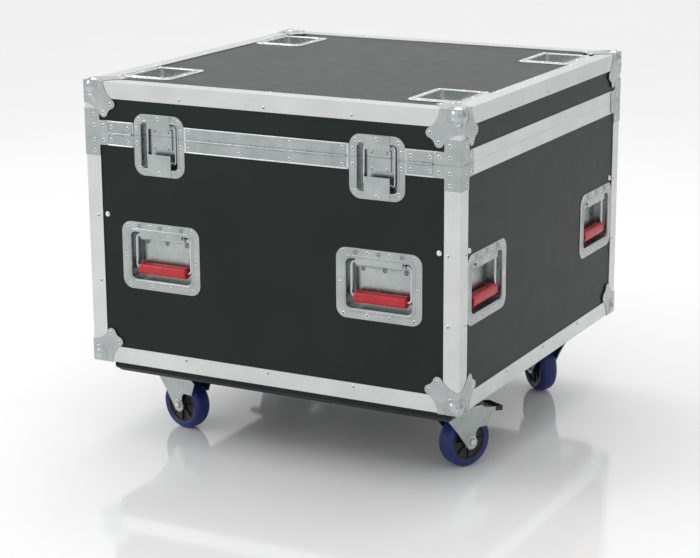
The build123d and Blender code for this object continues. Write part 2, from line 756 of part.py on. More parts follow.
with BuildPart() as fork_body:
    leg_outer = FORK_GAP / 2 + FORK_T
    with BuildSketch(Plane(origin=(0, leg_outer, 0), x_dir=(1, 0, 0), z_dir=(0, -1, 0))):
        add(leg_outline.sketch)
    extrude(amount=2 * leg_outer)
    with BuildSketch(Plane(origin=(0, FORK_GAP / 2, 0), x_dir=(1, 0, 0), z_dir=(0, -1, 0))):
        with Locations((27, (FORK_TOP - FORK_T) / 2)):
            Rectangle(160, FORK_TOP - FORK_T)
    extrude(amount=FORK_GAP, mode=Mode.SUBTRACT)
    with BuildSketch(Plane.XY.offset(FORK_TOP)):
        Circle(KINGPIN_R + RUNNING)
    extrude(amount=-FORK_T, mode=Mode.SUBTRACT)
    with BuildSketch(Plane(origin=(0, leg_outer, 0), x_dir=(1, 0, 0), z_dir=(0, -1, 0))):
        with Locations((HUB_X, WHEEL_R)):
            Circle(AXLE_R)
        with Locations(PEDAL_PIN):
            Circle(PEDAL_PIN_R + RUNNING)
    extrude(amount=2 * leg_outer, mode=Mode.SUBTRACT)

with BuildPart() as axle:
    axle_plane = Plane(origin=(HUB_X, leg_outer, WHEEL_R), x_dir=(1, 0, 0), z_dir=(0, -1, 0))
    with BuildSketch(axle_plane):
        Circle(AXLE_R)
    extrude(amount=2 * leg_outer)
    with BuildSketch(axle_plane, axle_plane.offset(2 * leg_outer + 4.5)):
        RegularPolygon(8, 6)
    extrude(amount=-4.5)

with BuildPart() as rim:
    with BuildSketch(Plane(origin=(HUB_X, 0, WHEEL_R), x_dir=(1, 0, 0), z_dir=(0, -1, 0))) as rim_sketch:
        Circle(RIM_R)
        Circle(AXLE_R + RUNNING, mode=Mode.SUBTRACT)
    extrude(amount=WHEEL_W / 2 - 2, both=True)
    with BuildSketch(rim_sketch.workplanes[0]):
        Circle(12)
        Circle(AXLE_R + RUNNING, mode=Mode.SUBTRACT)
    extrude(amount=FORK_GAP / 2 - 0.6, both=True)

with BuildPart() as tyre:
    with BuildSketch(Plane(origin=(HUB_X, 0, WHEEL_R), x_dir=(1, 0, 0), z_dir=(0, -1, 0))):
        Circle(WHEEL_R)
        Circle(RIM_R, mode=Mode.SUBTRACT)
    extrude(amount=WHEEL_W / 2, both=True)
    tread_edges = tyre.edges().filter_by(GeomType.CIRCLE).filter_by(lambda edge: edge.radius > WHEEL_R - 1)
    fillet(tread_edges, radius=6)

with BuildPart() as pedal:
    with BuildSketch(Plane(origin=(0, 20, 0), x_dir=(1, 0, 0), z_dir=(0, -1, 0))):
        with BuildLine():
            Polyline(
                (56, 104),
                (PEDAL_TIP_X, 97.5),
                (PEDAL_TIP_X, 103.5),
                (PEDAL_PIN[0], 111),
                (56, 111),
                close=True,
            )
        make_face()
    extrude(amount=40)
    with BuildSketch(Plane(origin=(PEDAL_PIN[0], leg_outer, PEDAL_PIN[1]), x_dir=(1, 0, 0), z_dir=(0, -1, 0))):
        Circle(PEDAL_PIN_R)
    extrude(amount=2 * leg_outer)
    tip_edges = pedal.edges().filter_by(Axis.Z).sort_by(Axis.X)[-2:]
    fillet(tip_edges, radius=8)

pedal_number = 0
for number, (x, y, heading) in enumerate(CASTERS, start=1):
    spot = Pos(x, y, 0) * Rotation(0, 0, heading)
    with BuildPart() as caster_fork:
        add([spot * fork_body.part, spot * axle.part])
    save(caster_fork, f"caster_fork_{number}")
    with BuildPart() as caster_rim:
        add(spot * rim.part)
    save(caster_rim, f"caster_rim_{number}")
    with BuildPart() as caster_tyre:
        add(spot * tyre.part)
    save(caster_tyre, f"caster_tyre_{number}")
    if number - 1 in BRAKED:
        pedal_number += 1
        with BuildPart() as brake_pedal:
            add(spot * pedal.part)
        save(brake_pedal, f"brake_pedal_{pedal_number}")

# ---------------------------------------------------------------- fasteners
with BuildPart() as rivet:
    with BuildSketch(Plane.XY):
        RegularPolygon(RIVET_R, 16)
    extrude(amount=RIVET_H, taper=30)

with BuildPart() as bolt:
    with BuildSketch(Plane.XY):
        RegularPolygon(BOLT_R, 16)
    extrude(amount=BOLT_H, taper=35)

EDGE_STEP = 175.0
EDGE_IN = 24.0
base_rivet_places = []
lid_rivet_places = []
ANGLE_OUT = SKIN
PLATE_OUT = SKIN + SHEET

for side_name in SIDES:
    for along in (-EDGE_STEP, 0, EDGE_STEP):
        lid_rivet_places.append(wall_plane(side_name, along, TOP_Z - EDGE_IN, ANGLE_OUT))
        base_rivet_places.append(wall_plane(side_name, along, BASE_Z + EDGE_IN, ANGLE_OUT))
    for direction in (-1, 1):
        for height in (BASE_Z + 157, BASE_Z + 282):
            base_rivet_places.append(wall_plane(side_name, direction * (HALF - 22), height, ANGLE_OUT))
        for across, down in BRACE_RIVETS:
            along = direction * (HALF - across)
            base_rivet_places.append(wall_plane(side_name, along, SPLIT_Z - down, PLATE_OUT))
            lid_rivet_places.append(wall_plane(side_name, along, SPLIT_Z + down, PLATE_OUT))
        for across, down in EAR_RIVETS:
            along = direction * (HALF - across)
            base_rivet_places.append(wall_plane(side_name, along, BASE_Z + down, PLATE_OUT))
            lid_rivet_places.append(wall_plane(side_name, along, TOP_Z - down, PLATE_OUT))

for along in (-EDGE_STEP, 0, EDGE_STEP):
    for direction in (-1, 1):
        lid_rivet_places.append(top_plane(along, direction * (HALF - EDGE_IN)))
        lid_rivet_places.append(top_plane(direction * (HALF - EDGE_IN), along))
for sx in (-1, 1):
    for sy in (-1, 1):
        for across, down in EAR_RIVETS:
            lid_rivet_places.append(top_plane(sx * (HALF - across), sy * (HALF - down), TOP_Z + SHEET))

HANDLE_RIVETS = [(69.5, 57.0), (21.5, 57.0), (69.5, -56.0), (21.5, -56.0), (76.5, 0.0)]
for place in HANDLE_PLACES:
    for across, up in HANDLE_RIVETS:
        for direction in (-1, 1):
            spot = place.offset(SHEET)
            spot.origin = place.from_local_coords((direction * across, up, SHEET))
            base_rivet_places.append(spot)

DISH_RIVETS = [(42.0, 47.0), (47.0, 30.0), (47.0, 2.5), (42.0, -43.5)]
STRAP_RIVETS = [(0.0, 50.0), (0.0, -50.0)]
for place in DISH_PLACES:
    strap = STRAP_T if place in STAY_PLACES else 0.0
    spots = [(direction * across, up, SHEET) for across, up in DISH_RIVETS for direction in (-1, 1)]
    spots += [(across, up, SHEET + strap) for across, up in STRAP_RIVETS]
    for local in spots:
        spot = place.offset(0)
        spot.origin = place.from_local_coords(local)
        if local[1] > SPLIT_V:
            lid_rivet_places.append(spot)
        else:
            base_rivet_places.append(spot)

LONG_COLUMNS = (-156.0, -52.0, 52.0, 156.0)
SHORT_COLUMNS = (-324.0, -288.0, 288.0, 324.0)
for columns, row in ((LONG_COLUMNS, 15.0), (SHORT_COLUMNS, 12.0)):
    for along in columns:
        lid_rivet_places.append(wall_plane("hinge", along, SPLIT_Z + row, SKIN + LEAF_T))
        base_rivet_places.append(wall_plane("hinge", along, SPLIT_Z - row, SKIN + LEAF_T))

CUP_RIVETS = [(46.0, 58.0), (47.0, 0.0), (0.0, 60.0)]
for place in CUP_PLACES:
    for across, up in CUP_RIVETS:
        for sx in ((-1, 1) if across else (1,)):
            for sy in ((-1, 1) if up else (1,)):
                spot = place.offset(0)
                spot.origin = place.from_local_coords((sx * across, sy * up, SHEET))
                lid_rivet_places.append(spot)

with BuildPart() as base_rivets:
    with Locations(*[place.location for place in base_rivet_places]):
        add(rivet.part)
save(base_rivets, "base_rivets")
with BuildPart() as lid_rivets:
    with Locations(*[place.location for place in lid_rivet_places]):
        add(rivet.part)
save(lid_rivets, "lid_rivets")

# Round-headed bolts: one beside each end of every side panel, and four under each caster plate.
BOLT_IN = 40.5
BOLT_Z = HANDLE_Z + HANDLE_H / 2 + 8.0
bolt_places = []
for side_name in SIDES:
    for direction in (-1, 1):
        bolt_places.append(wall_plane(side_name, direction * (HALF - BOLT_IN), BOLT_Z))
for x, y, _ in CASTERS:
    for dx in (-BOLT_SPACING[1] / 2, BOLT_SPACING[1] / 2):
        for dy in (-BOLT_SPACING[0] / 2, BOLT_SPACING[0] / 2):
            origin = (x + dx, y + dy, CASTER_H - PLATE_T)
            bolt_places.append(Plane(origin=origin, x_dir=(1, 0, 0), z_dir=(0, 0, -1)))
with BuildPart() as base_bolts:
    with Locations(*[place.location for place in bolt_places]):
        add(bolt.part)
save(base_bolts, "base_bolts")
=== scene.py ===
import json
import math

import bmesh
import bpy
from mathutils import Matrix, Vector

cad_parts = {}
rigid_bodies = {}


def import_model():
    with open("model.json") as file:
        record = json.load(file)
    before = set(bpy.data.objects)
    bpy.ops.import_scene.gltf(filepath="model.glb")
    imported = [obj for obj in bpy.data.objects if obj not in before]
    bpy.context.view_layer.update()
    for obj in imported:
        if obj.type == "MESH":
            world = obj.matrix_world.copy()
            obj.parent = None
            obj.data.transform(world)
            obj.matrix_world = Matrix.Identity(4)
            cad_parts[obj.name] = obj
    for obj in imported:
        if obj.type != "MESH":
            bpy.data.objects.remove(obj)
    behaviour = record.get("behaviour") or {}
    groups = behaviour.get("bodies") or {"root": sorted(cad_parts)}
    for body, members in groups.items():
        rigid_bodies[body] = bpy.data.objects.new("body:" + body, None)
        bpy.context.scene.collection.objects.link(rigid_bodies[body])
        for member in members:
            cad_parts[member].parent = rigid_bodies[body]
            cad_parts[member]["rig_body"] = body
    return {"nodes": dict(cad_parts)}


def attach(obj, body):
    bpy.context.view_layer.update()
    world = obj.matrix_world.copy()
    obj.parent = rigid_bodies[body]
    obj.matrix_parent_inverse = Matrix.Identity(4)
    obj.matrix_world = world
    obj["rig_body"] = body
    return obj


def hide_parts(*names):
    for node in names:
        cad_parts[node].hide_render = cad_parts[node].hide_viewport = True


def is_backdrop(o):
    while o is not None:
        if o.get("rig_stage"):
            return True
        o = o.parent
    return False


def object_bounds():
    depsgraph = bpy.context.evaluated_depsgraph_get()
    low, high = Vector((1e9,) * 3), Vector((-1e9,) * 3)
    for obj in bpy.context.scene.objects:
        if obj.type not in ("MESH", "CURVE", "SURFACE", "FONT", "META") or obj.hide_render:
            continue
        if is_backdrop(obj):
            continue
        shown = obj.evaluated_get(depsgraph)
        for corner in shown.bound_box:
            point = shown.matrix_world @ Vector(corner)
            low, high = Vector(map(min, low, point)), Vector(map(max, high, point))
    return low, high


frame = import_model()
cad_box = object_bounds()

MM = 0.001
EAST = Vector((1, 0, 0))
NORTH = Vector((0, 1, 0))
UP = Vector((0, 0, 1))

# The case, in millimetres: the same driving dimensions as the CAD.
HALF = 381.0
SKIN = 2.0
FACE = HALF - SKIN
SPLIT_Z = 595.0
TOP_Z = 690.0
BASE_Z = 155.0
SHEET = 1.2
BALL_IN = 11.0

# Corners: faces nearer than this to a ball's centre are the ball's (its radius is 16), and the ring.
BALL_REACH = 16.6
RING_R = 17.0

# Handle dishes: places along each side, the dish, and the bail that carries the grip.
HANDLE_Z = 369.0
LONG_REACH = 225.0
SHORT_REACH = 266.0
HANDLE_BEAD_W = 138.0
HANDLE_BEAD_H = 98.0
DISH_DEPTH = 23.0
DIMPLE_PITCH = 45.5
TAB_HALF = 49.0
BAIL_V = 38.0
BAIL_DROP = 63.5
BAIL_DEPTH = 10.0
COLLAR_START = 43.0
GRIP_STEPS = 96

# Dishes of the lid stays and latches, which the split cuts through, and the hinge beside them.
DISH_Z = 579.0
DISH_X = 222.0
SPLIT_V = SPLIT_Z - DISH_Z
SPLIT_BEAD_W = 81.8
SPLIT_BEAD_H = 89.3
SPLIT_BEAD_MIDDLE = -0.75
SPLIT_BEAD_GAP = 0.4
PAD_DEPTH = 9.0
PAD_RIVET_U = 15.0
LEAF_RUNS = ((-164.5, 164.5), (-329.8, -277.5), (277.5, 329.8))
LIP_V = 21.8

# Stacking cups, and the casters under them: place of each swivel axis and its heading in degrees.
CASTER_X = 295.0
CASTER_Y = 245.0
CUP_RIM_X = 83.2
CUP_RIM_Y = 109.2
CASTERS = (
    (CASTER_X, -CASTER_Y, 62.6),
    (-CASTER_X, -CASTER_Y, -14.9),
    (CASTER_X, CASTER_Y, 137.1),
    (-CASTER_X, CASTER_Y, 250.0),
)
BRAKED = (1, 4)
WHEEL_R = 50.0
TRAIL = 40.0
RIM_RIBS = 8
PEDAL_REACH = 106.0
PEDAL_Z = 101.6
PEDAL_SLOPE = math.radians(7.5)

# Outlines of fastener heads, as parts of the head's radius and height.
BOLT_HEAD = [(1, 0), (0.96, 0.3), (0.82, 0.66), (0.52, 0.92), (0, 1)]
RIVET_HEAD = [(1, 0), (0.97, 0.3), (0.85, 0.68), (0.68, 0.93), (0.52, 1), (0.42, 0.8)]
RIVET_BORE = [(0.42, 0.8), (0.39, 0.2), (0, 0.15)]

# Stage and camera.
FLOOR_HALF = 30.0
CAMERA_AT = Vector((1724.5, -3332.3, 1254.4))
YAW = math.radians(-27.79)
PITCH = math.radians(14.75)
ROLL = math.radians(-0.327)
SENSOR_MM = 36.0
LENS_MM = 101.2577

# How angled edges are told from flat ones, in degrees.
EDGE_ANGLE = 35

# Each side panel's direction to the right, seen from outside, and its outward direction.
SIDES = {
    "hinge": (EAST, -NORTH),
    "right": (NORTH, EAST),
    "latch": (-EAST, NORTH),
    "left": (-NORTH, -EAST),
}


def axes_matrix(x, y, z, origin):
    """Matrix from local millimetres with these axes to the shared frame in metres."""
    turn = Matrix((x, y, z)).transposed().to_4x4()
    return Matrix.Translation(Vector(origin) * MM) @ turn @ Matrix.Scale(MM, 4)


def wall(side, along, height):
    """Local u runs right as seen from outside, v up, and w out from the side panel's face."""
    rightward, outward = SIDES[side]
    origin = outward * FACE + rightward * along + UP * height
    return axes_matrix(rightward, UP, outward, origin)


HANDLES = []
for side in SIDES:
    reach = LONG_REACH if side in ("hinge", "latch") else SHORT_REACH
    HANDLES += [wall(side, direction * reach, HANDLE_Z) for direction in (-1, 1)]
STAYS = [wall("hinge", direction * DISH_X, DISH_Z) for direction in (-1, 1)]
LATCHES = [wall("latch", direction * DISH_X, DISH_Z) for direction in (-1, 1)]


# ---------------------------------------------------------------- materials
class Shader:
    """A Principled material with a few procedural helpers. Coordinates are metres in the shared frame."""

    def __init__(self, name, color, metallic=0.0, roughness=0.5):
        self.material = bpy.data.materials.new(name)
        self.material.use_nodes = True
        self.nodes = self.material.node_tree.nodes
        self.links = self.material.node_tree.links
        self.bsdf = self.nodes["Principled BSDF"]
        self.bsdf.inputs["Base Color"].default_value = (*color, 1)
        self.bsdf.inputs["Metallic"].default_value = metallic
        self.bsdf.inputs["Roughness"].default_value = roughness
        self.coordinates = self.nodes.new("ShaderNodeTexCoord").outputs["Object"]
        self.material.diffuse_color = (*color, 1)
        self.normal = None

    def stretched(self, scale):
        mapping = self.nodes.new("ShaderNodeMapping")
        mapping.inputs["Scale"].default_value = scale
        self.links.new(self.coordinates, mapping.inputs["Vector"])
        return mapping.outputs["Vector"]

    def noise(self, scale, detail=4.0, rough=0.55, vector=None):
        node = self.nodes.new("ShaderNodeTexNoise")
        node.inputs["Scale"].default_value = scale
        node.inputs["Detail"].default_value = detail
        node.inputs["Roughness"].default_value = rough
        self.links.new(vector or self.coordinates, node.inputs["Vector"])
        return node.outputs["Fac"]

    def cells(self, scale):
        node = self.nodes.new("ShaderNodeTexVoronoi")
        node.feature = "SMOOTH_F1"
        node.inputs["Scale"].default_value = scale
        node.inputs["Smoothness"].default_value = 0.3
        self.links.new(self.coordinates, node.inputs["Vector"])
        return node.outputs["Distance"]

    def spread(self, value, low, high, start=0.3, end=0.7):
        node = self.nodes.new("ShaderNodeMapRange")
        node.inputs["From Min"].default_value = start
        node.inputs["From Max"].default_value = end
        node.inputs["To Min"].default_value = low
        node.inputs["To Max"].default_value = high
        self.links.new(value, node.inputs["Value"])
        return node.outputs["Result"]

    def tint(self, value, dark, light, start=0.3, end=0.7):
        node = self.nodes.new("ShaderNodeValToRGB")
        node.color_ramp.elements[0].position = start
        node.color_ramp.elements[0].color = (*dark, 1)
        node.color_ramp.elements[1].position = end
        node.color_ramp.elements[1].color = (*light, 1)
        self.links.new(value, node.inputs["Fac"])
        return node.outputs["Color"]

    def blend(self, factor, first, second):
        node = self.nodes.new("ShaderNodeMix")
        node.data_type = "RGBA"
        self.links.new(factor, node.inputs["Factor"])
        self.links.new(first, node.inputs["A"])
        self.links.new(second, node.inputs["B"])
        return node.outputs["Result"]

    def set(self, socket, value):
        self.links.new(value, self.bsdf.inputs[socket])

    def bump(self, value, strength, distance_mm):
        node = self.nodes.new("ShaderNodeBump")
        node.inputs["Strength"].default_value = strength
        node.inputs["Distance"].default_value = distance_mm * MM
        self.links.new(value, node.inputs["Height"])
        if self.normal is not None:
            self.links.new(self.normal, node.inputs["Normal"])
        self.normal = node.outputs["Normal"]
        self.links.new(self.normal, self.bsdf.inputs["Normal"])


def laminate(name, dark, light):
    """Matt plastic laminate with a fine pebbled texture."""
    s = Shader(name, light, 0.0, 0.42)
    s.set("Base Color", s.tint(s.noise(7, 5), dark, light))
    s.set("Roughness", s.spread(s.noise(30, 6, 0.7), 0.37, 0.43))
    s.bump(s.cells(750), 0.2, 0.1)
    s.bsdf.inputs["Specular IOR Level"].default_value = 0.21
    s.bsdf.inputs["Specular Tint"].default_value = (0.84, 1.0, 0.93, 1)
    return s.material


def extrusion(name, axis):
    """Satin aluminium with fine draw lines along one axis."""
    s = Shader(name, (0.80, 0.81, 0.82), 1.0, 0.34)
    scale = [900.0, 900.0, 900.0]
    scale[axis] = 9.0
    lines = s.noise(1.0, 3, 0.6, s.stretched(scale))
    clouds = s.noise(14, 4)
    s.set("Base Color", s.blend(
        s.spread(lines, 0.0, 1.0),
        s.tint(clouds, (0.60, 0.61, 0.61), (0.66, 0.67, 0.67)),
        s.tint(clouds, (0.65, 0.66, 0.66), (0.72, 0.73, 0.73)),
    ))
    s.set("Roughness", s.spread(s.noise(45, 5, 0.7), 0.27, 0.42))
    s.bump(lines, 0.10, 0.04)
    s.bump(s.noise(3.5, 1), 0.25, 1.0)
    return s.material


def plated(name, dark, light, low, high, grain=0.12):
    """Zinc-plated pressed steel: cloudy, with fine grain and small dents."""
    s = Shader(name, light, 1.0, low)
    clouds = s.noise(27, 4, 0.6)
    s.set("Base Color", s.tint(clouds, dark, light))
    s.set("Roughness", s.spread(s.noise(120, 4, 0.65), low, high))
    s.bump(s.noise(900, 2), grain, 0.05)
    s.bump(s.noise(22, 2), 0.16, 0.5)
    return s.material


def moulded(name, dark, light, low, high, grain_scale=900, grain=0.25, coat=0.0):
    """Moulded plastic or rubber, low and high being its range of roughness."""
    s = Shader(name, light, 0.0, low)
    s.set("Base Color", s.tint(s.noise(60, 4), dark, light))
    s.set("Roughness", s.spread(s.noise(150, 4), low, high))
    s.bump(s.noise(grain_scale, 2), grain, 0.06)
    s.bsdf.inputs["Coat Weight"].default_value = coat
    s.bsdf.inputs["Coat Roughness"].default_value = 0.2
    return s.material


def wood(name, dark, light, rough):
    """Plywood with its grain along X."""
    s = Shader(name, light, 0.0, rough)
    grain = s.noise(1.0, 6, 0.6, s.stretched((14, 220, 220)))
    s.set("Base Color", s.tint(grain, dark, light))
    s.set("Roughness", s.spread(grain, rough - 0.08, rough + 0.1))
    s.bump(grain, 0.2, 0.15)
    return s.material


PANEL = laminate("laminate_black", (0.011, 0.0130, 0.0124), (0.0165, 0.0186, 0.0178))
EXTRUSIONS = [extrusion(f"aluminium_drawn_{axis}", index) for index, axis in enumerate("xyz")]
ZINC = plated("zinc_plated_pressing", (0.36, 0.395, 0.387), (0.46, 0.497, 0.488), 0.24, 0.36)
CUP = plated("zinc_cup", (0.58, 0.60, 0.59), (0.70, 0.72, 0.71), 0.2, 0.3)
FLANGE = plated("zinc_flange", (0.38, 0.415, 0.41), (0.48, 0.515, 0.505), 0.2, 0.3)
BALL = plated("bright_zinc_ball", (0.42, 0.45, 0.45), (0.54, 0.57, 0.56), 0.05, 0.11, 0.04)
# Near-black zinc for painted shade, in the grooves of the clinch marks and along the strip under the
# edges of the handle dish tabs.
SHADE = plated("zinc_painted_shade", (0.07, 0.075, 0.075), (0.12, 0.13, 0.13), 0.35, 0.5)
HINGE = plated("hinge_strip", (0.33, 0.37, 0.37), (0.44, 0.48, 0.475), 0.24, 0.38)
RIVET = plated("bright_rivet", (0.62, 0.63, 0.63), (0.78, 0.78, 0.78), 0.12, 0.22, 0.05)
# Near-black zinc for painted shade inside the bores of the rivets.
HOLE_SHADE = plated("rivet_hole_painted_shade", (0.015, 0.015, 0.015), (0.035, 0.035, 0.035), 0.5, 0.7, 0.05)
CHROME = plated("bright_wire", (0.44, 0.45, 0.46), (0.58, 0.59, 0.60), 0.07, 0.15, 0.04)
GRIP = moulded("red_grip", (0.43, 0.005, 0.011), (0.54, 0.009, 0.018), 0.28, 0.42, 1400, 0.15, 0.12)
TYRE = moulded("blue_rubber", (0.006, 0.014, 0.120), (0.010, 0.026, 0.190), 0.38, 0.54, 1100, 0.3, 0.05)
RIM = moulded("black_rim", (0.010, 0.010, 0.011), (0.022, 0.022, 0.023), 0.36, 0.52)
CAP = moulded("black_rubber_cap", (0.012, 0.012, 0.012), (0.028, 0.028, 0.028), 0.5, 0.68)
BOARD = laminate("board_black_paint", (0.012, 0.012, 0.013), (0.022, 0.022, 0.023))
PLY = wood("birch_ply", (0.30, 0.19, 0.10), (0.46, 0.32, 0.19), 0.5)


# ---------------------------------------------------------------- pieces
def own(name, mesh, body, materials, replaced=()):
    """Puts a mesh in the scene as a piece of a body."""
    piece = bpy.data.objects.new(name, mesh)
    bpy.context.scene.collection.objects.link(piece)
    for material in materials:
        mesh.materials.append(material)
    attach(piece, body)
    if replaced:
        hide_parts(*replaced)
    return piece


def soften(piece, width_mm, segments, angle):
    """Rounds the angled edges of a piece."""
    bevel = piece.modifiers.new("edge", "BEVEL")
    bevel.width = width_mm * MM
    bevel.segments = segments
    bevel.limit_method = "ANGLE"
    bevel.angle_limit = math.radians(angle)
    bevel.harden_normals = True
    bevel.use_clamp_overlap = True
    bevel.miter_outer = "MITER_ARC"


def smooth(mesh, angle):
    mesh.shade_smooth()
    mesh.set_sharp_from_angle(angle=math.radians(angle))


def body_of(node):
    return frame["nodes"][node]["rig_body"]


def islands(bm):
    """The separate solids of a mesh, as lists of vertices, always in the same order."""
    left = set(bm.verts)
    for seed in bm.verts:
        if seed not in left:
            continue
        left.remove(seed)
        island, stack = [seed], [seed]
        while stack:
            for edge in stack.pop().link_edges:
                for other in edge.verts:
                    if other in left:
                        left.remove(other)
                        island.append(other)
                        stack.append(other)
        yield island


def by_length(bm):
    """Gives each solid the material whose draw lines run along it."""
    for island in islands(bm):
        spans = [max(v.co[i] for v in island) - min(v.co[i] for v in island) for i in range(3)]
        for vert in island:
            for face in vert.link_faces:
                face.material_index = spans.index(max(spans))


def bright_balls(bm):
    """Gives the balls of the corners the second material, apart from their flanges."""
    reach = HALF - BALL_IN
    for face in bm.faces:
        spot = face.calc_center_median()
        x = math.copysign(reach, spot.x)
        y = math.copysign(reach, spot.y)
        for height in (TOP_Z - BALL_IN, BASE_Z + BALL_IN):
            centre = Vector((x, y, height)) * MM
            if max((v.co - centre).length for v in face.verts) < BALL_REACH * MM:
                face.material_index = 1


def refined(node, materials, bevel_mm=0.0, segments=2, paint=None):
    """A welded, edge-softened copy of a CAD node that stands for it."""
    mesh = frame["nodes"][node].data.copy()
    mesh.materials.clear()
    bm = bmesh.new()
    bm.from_mesh(mesh)
    bmesh.ops.remove_doubles(bm, verts=bm.verts, dist=0.00001)
    bmesh.ops.dissolve_limit(bm, angle_limit=math.radians(0.5), verts=bm.verts, edges=bm.edges)
    for face in bm.faces:
        face.material_index = 0
    if paint:
        paint(bm)
    bm.to_mesh(mesh)
    bm.free()
    if "custom_normal" in mesh.attributes:
        mesh.attributes.remove(mesh.attributes["custom_normal"])
    smooth(mesh, EDGE_ANGLE)
    piece = own(f"{node}_look", mesh, body_of(node), materials, [node])
    if bevel_mm:
        soften(piece, bevel_mm, segments, EDGE_ANGLE)


def rounded_rect(width, height, radius, steps=8, centre=(0.0, 0.0)):
    """Points round a rounded rectangle, anticlockwise."""
    points = []
    for cx, cy, start in ((1, 1, 0), (-1, 1, 90), (-1, -1, 180), (1, -1, 270)):
        for step in range(steps + 1):
            t = math.radians(start + 90 * step / steps)
            points.append(Vector((
                centre[0] + cx * (width / 2 - radius) + radius * math.cos(t),
                centre[1] + cy * (height / 2 - radius) + radius * math.sin(t),
            )))
    return points


def bead(bm, matrix, path, closed, section, out):
    """Sweeps a section of (across, height) points along a path in the local u, v plane."""
    rings = []
    count = len(path)
    for index, point in enumerate(path):
        if closed:
            before, after = path[index - 1], path[(index + 1) % count]
        else:
            before, after = path[max(index - 1, 0)], path[min(index + 1, count - 1)]
        direction = (after - before).normalized()
        side = Vector((direction.y, -direction.x))
        ring = []
        for across, high in section:
            spot = point + side * across
            ring.append(bm.verts.new(matrix @ Vector((spot.x, spot.y, out + high))))
        rings.append(ring)
    pairs = list(zip(rings, rings[1:]))
    if closed:
        pairs.append((rings[-1], rings[0]))
    for a, b in pairs:
        for k in range(len(section) - 1):
            bm.faces.new((a[k], a[k + 1], b[k + 1], b[k]))
    if not closed:
        bm.faces.new(rings[0][::-1])
        bm.faces.new(rings[-1])


def half_round(half_width, high, steps=6):
    """Section of a bead, whose two feet stand just inside the sheet."""
    section = []
    for k in range(steps + 1):
        t = math.pi * k / steps
        sunk = 0.02 if k in (0, steps) else 0
        section.append((half_width * math.cos(t), high * math.sin(t) - sunk))
    return section


def turned(bm, matrix, profile, steps=32, close=False, slot=0):
    """Turns (radius, height) points round the local Z axis."""
    rings = []
    for radius, high in profile:
        if radius < 1e-6:
            rings.append([bm.verts.new(matrix @ Vector((0, 0, high)))])
            continue
        ring = []
        for k in range(steps):
            t = 2 * math.pi * k / steps
            ring.append(bm.verts.new(matrix @ Vector((radius * math.cos(t), radius * math.sin(t), high))))
        rings.append(ring)
    pairs = list(zip(rings, rings[1:]))
    if close:
        pairs.append((rings[-1], rings[0]))
    for a, b in pairs:
        for k in range(steps):
            n = (k + 1) % steps
            if len(a) == 1 and len(b) == 1:
                continue
            if len(a) == 1:
                face = bm.faces.new((a[0], b[k], b[n]))
            elif len(b) == 1:
                face = bm.faces.new((a[k], b[0], a[n]))
            else:
                face = bm.faces.new((a[k], b[k], b[n], a[n]))
            face.material_index = slot


def finished(name, bm, body, materials, replaced=(), angle=EDGE_ANGLE, bevel_mm=0.0):
    """Turns a bmesh into a piece."""
    bmesh.ops.recalc_face_normals(bm, faces=bm.faces)
    mesh = bpy.data.meshes.new(name)
    bm.to_mesh(mesh)
    bm.free()
    smooth(mesh, angle)
    piece = own(name, mesh, body, materials, replaced)
    if bevel_mm:
        soften(piece, bevel_mm, 2, angle)
    return piece


def heads(node, materials, profile, hole=()):
    """Round heads in place of a CAD node's faceted ones. Profiles are in parts of radius and height."""
    source = bmesh.new()
    source.from_mesh(frame["nodes"][node].data)
    bmesh.ops.remove_doubles(source, verts=source.verts, dist=0.00001)
    bm = bmesh.new()
    for island in islands(source):
        low = Vector([min(v.co[i] for v in island) for i in range(3)])
        high = Vector([max(v.co[i] for v in island) for i in range(3)])
        middle, spans = (low + high) / 2, high - low
        axis = list(spans).index(min(spans))
        wide = max(island, key=lambda v: (v.co - middle).length).co
        outward = -1 if wide[axis] > middle[axis] else 1
        foot = middle.copy()
        foot[axis] = wide[axis]
        direction = Vector([outward if i == axis else 0 for i in range(3)])
        radius = (wide - foot).length
        place = Matrix.Translation(foot) @ direction.to_track_quat("Z", "Y").to_matrix().to_4x4()
        place = place @ Matrix.Diagonal((radius, radius, spans[axis], 1))
        turned(bm, place, profile, 24)
        if hole:
            # The bore takes the second material: painted shade.
            turned(bm, place, hole, 24, slot=1)
    source.free()
    finished(f"{node}_look", bm, body_of(node), materials, [node], angle=50)


# ---------------------------------------------------------------- the CAD nodes, refined
refined("base_wall_panels", [PANEL], 0.4)
refined("lid_wall_panels", [PANEL], 0.4)
refined("lid_top_panel", [PANEL], 0.4)
refined("base_floor_panel", [PLY], 0.5)
refined("caster_board", [BOARD], 1.6, 3)
refined("base_edge_angles", EXTRUSIONS, 0.9, 3, paint=by_length)
refined("lid_edge_angles", EXTRUSIONS, 0.9, 3, paint=by_length)
refined("base_tongue_rails", EXTRUSIONS, 0.5, 2, paint=by_length)
refined("lid_groove_rails", EXTRUSIONS, 0.5, 2, paint=by_length)
refined("base_ball_corners", [FLANGE, BALL], 0.45, 3, paint=bright_balls)
refined("lid_ball_corners", [FLANGE, BALL], 0.45, 3, paint=bright_balls)
refined("base_corner_braces", [ZINC], 0.45, 2)
refined("lid_corner_braces", [ZINC], 0.45, 2)
refined("handle_dishes", [ZINC], 0.5, 3)
refined("base_recess_dishes", [ZINC], 0.45, 2)
refined("lid_recess_dishes", [ZINC], 0.45, 2)
refined("stacking_cups", [CUP], 0.9, 3)
refined("caster_top_plates", [ZINC], 0.4, 2)
refined("hinge_lower_leaf", [HINGE], 0.35, 2)
refined("hinge_upper_leaf", [HINGE], 0.35, 2)
refined("hinge_pins", [HINGE])
heads("base_bolts", [RIVET], BOLT_HEAD)
heads("base_rivets", [RIVET, HOLE_SHADE], RIVET_HEAD, RIVET_BORE)
heads("lid_rivets", [RIVET, HOLE_SHADE], RIVET_HEAD, RIVET_BORE)
for number in (1, 2):
    refined(f"stay_loop_{number}", [CHROME])
    refined(f"latch_wing_{number}", [CHROME], 0.6, 3)
    refined(f"latch_hook_{number}", [CHROME], 0.4, 2)
    refined(f"brake_pedal_{number}", [ZINC], 0.8, 3)
